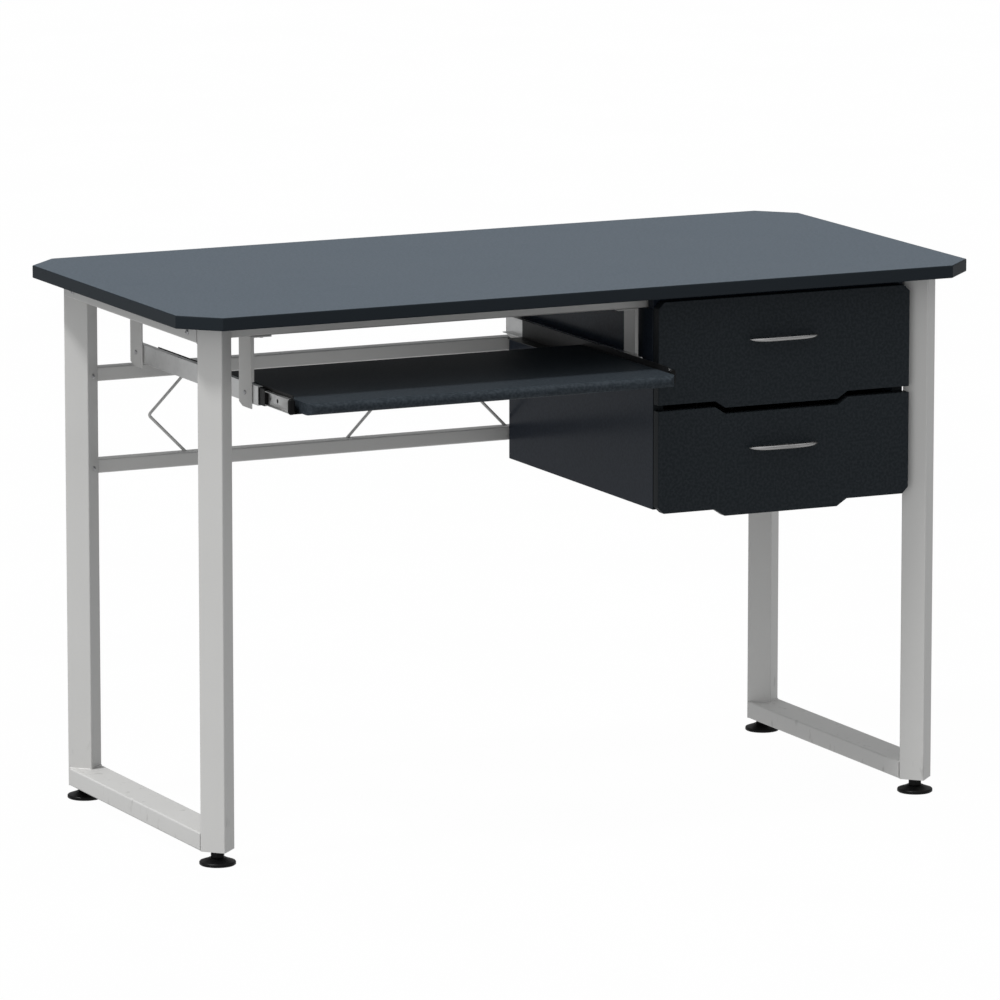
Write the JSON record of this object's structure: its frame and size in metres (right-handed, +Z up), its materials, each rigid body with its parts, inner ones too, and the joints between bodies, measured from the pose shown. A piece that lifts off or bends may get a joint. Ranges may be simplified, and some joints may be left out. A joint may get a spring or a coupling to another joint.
{
  "type": "writing desk",
  "caption": "Writing desk with a clipped-corner dark top, hanging drawer cabinet, sliding keyboard tray and a square-tube silver frame with wire-braced stretchers.",
  "frame": {"origin": "on the floor, under the middle of the whole desk with its keyboard tray standing out as it is at rest", "axes": "+X along the desk to the user's right, -Y towards the user, +Z up"},
  "size_m": [1.2, 0.654, 0.758],
  "materials": {
    "graphite_laminate": "dark slate melamine on particle board, fine stipple, soft sheen",
    "graphite_front": "dark graphite melamine with fine speckle, matt",
    "graphite_board": "dark graphite melamine, semi-gloss",
    "hardboard": "thin dark-faced hardboard",
    "drawer_box_board": "dark foil-wrapped drawer board, matt",
    "silver_paint": "silver-grey powder coat, fine texture",
    "black_steel": "black painted steel sheet",
    "black_plastic": "black moulded plastic, slightly glossy",
    "zinc_steel": "bright zinc-plated steel",
    "satin_nickel": "satin nickel plate"
  },
  "bodies": {
    "desk": {"tabletop": "graphite_laminate", "leg_front_left": "silver_paint", "leg_front_right": "silver_paint", "leg_rear_left": "silver_paint", "leg_rear_right": "silver_paint", "top_rail_left": "silver_paint", "top_rail_right": "silver_paint", "foot_rail_left": "silver_paint", "foot_rail_right": "silver_paint", "front_rail": "silver_paint", "rear_rail": "silver_paint", "rear_stretcher_upper": "silver_paint", "rear_stretcher_lower": "silver_paint", "brace_rod_outer_left": "silver_paint", "brace_rod_inner_left": "silver_paint", "brace_rod_inner_right": "silver_paint", "brace_rod_outer_right": "silver_paint", "cabinet_side_left": "graphite_board", "cabinet_side_right": "graphite_board", "cabinet_top": "graphite_board", "cabinet_bottom": "graphite_board", "cabinet_top_strip": "graphite_board", "cabinet_back": "hardboard", "upper_drawer_runner_left": "zinc_steel", "upper_drawer_runner_right": "zinc_steel", "lower_drawer_runner_left": "zinc_steel", "lower_drawer_runner_right": "zinc_steel", "tray_hanger_front_left": "silver_paint", "tray_hanger_front_right": "silver_paint", "tray_hanger_rear_left": "silver_paint", "tray_hanger_rear_right": "silver_paint", "tray_slide_fixed_left": "zinc_steel", "tray_slide_fixed_right": "zinc_steel"},
    "upper_drawer": {"upper_drawer_front": "graphite_front", "upper_drawer_side_left": "drawer_box_board", "upper_drawer_side_right": "drawer_box_board", "upper_drawer_back": "drawer_box_board", "upper_drawer_bottom": "hardboard", "upper_drawer_handle": "satin_nickel", "upper_drawer_slider_left": "zinc_steel", "upper_drawer_slider_right": "zinc_steel"},
    "lower_drawer": {"lower_drawer_front": "graphite_front", "lower_drawer_side_left": "drawer_box_board", "lower_drawer_side_right": "drawer_box_board", "lower_drawer_back": "drawer_box_board", "lower_drawer_bottom": "hardboard", "lower_drawer_handle": "satin_nickel", "lower_drawer_slider_left": "zinc_steel", "lower_drawer_slider_right": "zinc_steel"},
    "keyboard_tray": {"keyboard_tray": "graphite_laminate", "tray_slide_moving_left": "zinc_steel", "tray_angle_left": "black_steel", "tray_end_cap_left": "black_plastic", "tray_slide_moving_right": "zinc_steel", "tray_angle_right": "black_steel", "tray_end_cap_right": "black_plastic"},
    "levelling_foot_front_left": {"levelling_foot_front_left": "black_plastic"},
    "levelling_foot_front_right": {"levelling_foot_front_right": "black_plastic"},
    "levelling_foot_rear_left": {"levelling_foot_rear_left": "black_plastic"},
    "levelling_foot_rear_right": {"levelling_foot_rear_right": "black_plastic"}
  },
  "joints": [
    {"name": "upper_drawer_slide", "type": "slide", "parent": "desk", "child": "upper_drawer", "axis": [0, -1, 0], "range_m": [0, 0.33]},
    {"name": "lower_drawer_slide", "type": "slide", "parent": "desk", "child": "lower_drawer", "axis": [0, -1, 0], "range_m": [0, 0.33]},
    {"name": "keyboard_tray_slide", "type": "slide", "parent": "desk", "child": "keyboard_tray", "axis": [0, -1, 0], "range_m": [-0.0965, 0.19]},
    {"name": "levelling_foot_front_left_turn", "type": "hinge", "parent": "desk", "child": "levelling_foot_front_left", "pos_m": [-0.536, -0.2065, 0.02], "axis": [0, 0, 1], "continuous": true},
    {"name": "levelling_foot_front_right_turn", "type": "hinge", "parent": "desk", "child": "levelling_foot_front_right", "pos_m": [0.536, -0.2065, 0.02], "axis": [0, 0, 1], "continuous": true},
    {"name": "levelling_foot_rear_left_turn", "type": "hinge", "parent": "desk", "child": "levelling_foot_rear_left", "pos_m": [-0.536, 0.2605, 0.02], "axis": [0, 0, 1], "continuous": true},
    {"name": "levelling_foot_rear_right_turn", "type": "hinge", "parent": "desk", "child": "levelling_foot_rear_right", "pos_m": [0.536, 0.2605, 0.02], "axis": [0, 0, 1], "continuous": true}
  ]
}
